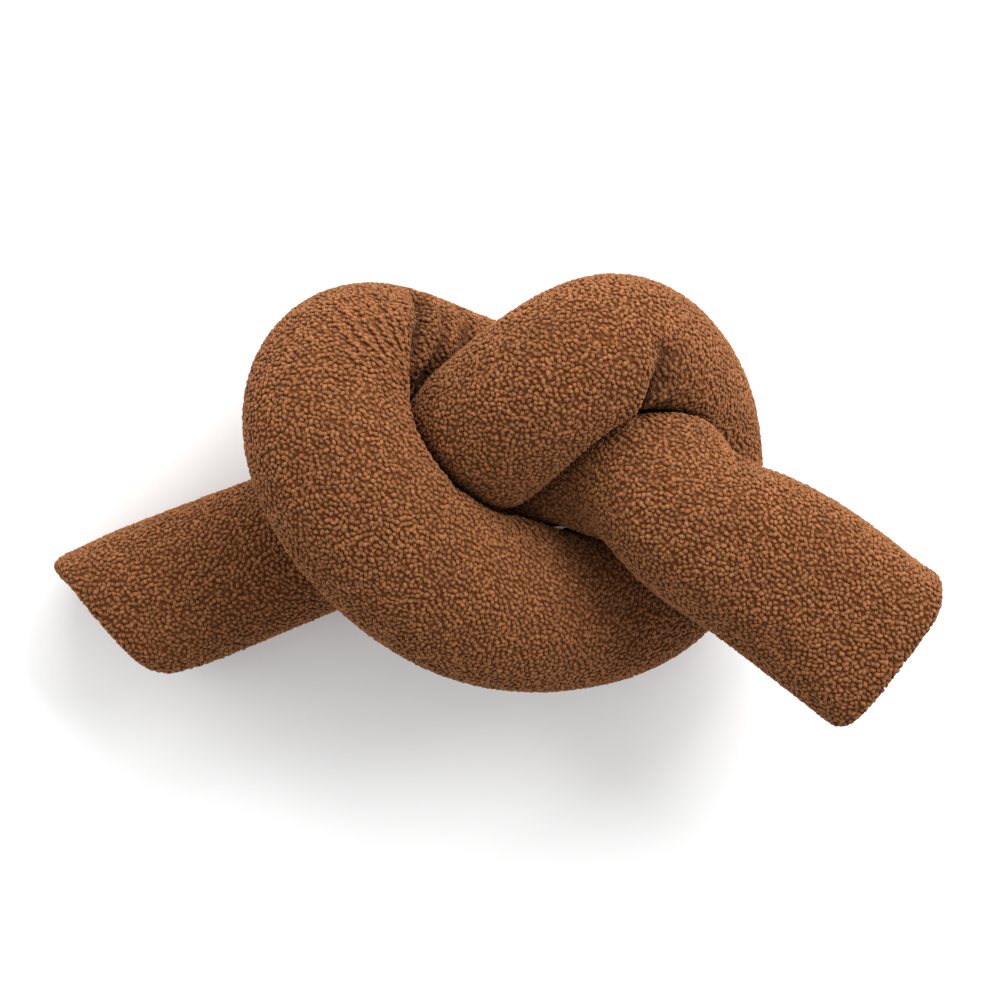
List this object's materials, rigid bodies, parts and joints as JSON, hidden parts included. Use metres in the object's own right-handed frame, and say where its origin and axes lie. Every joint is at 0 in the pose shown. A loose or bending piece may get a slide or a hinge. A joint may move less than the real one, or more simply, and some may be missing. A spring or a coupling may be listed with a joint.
{
  "type": "knot cushion",
  "caption": "Stuffed fleece tube tied in an overhand knot with blunt tails, a decorative cushion that lies on its back.",
  "frame": {"origin": "centre of the bounding box at its underside, where the cushion rests", "axes": "+X along the cushion's length towards the upper tail, +Y across its face towards the two loops, +Z out of the face, up as it lies on its back"},
  "size_m": [0.646, 0.3202, 0.2268],
  "materials": {
    "fleece": "curly brown fleece pile"
  },
  "bodies": {
    "root": {"knot_cushion": "fleece"}
  },
  "joints": []
}
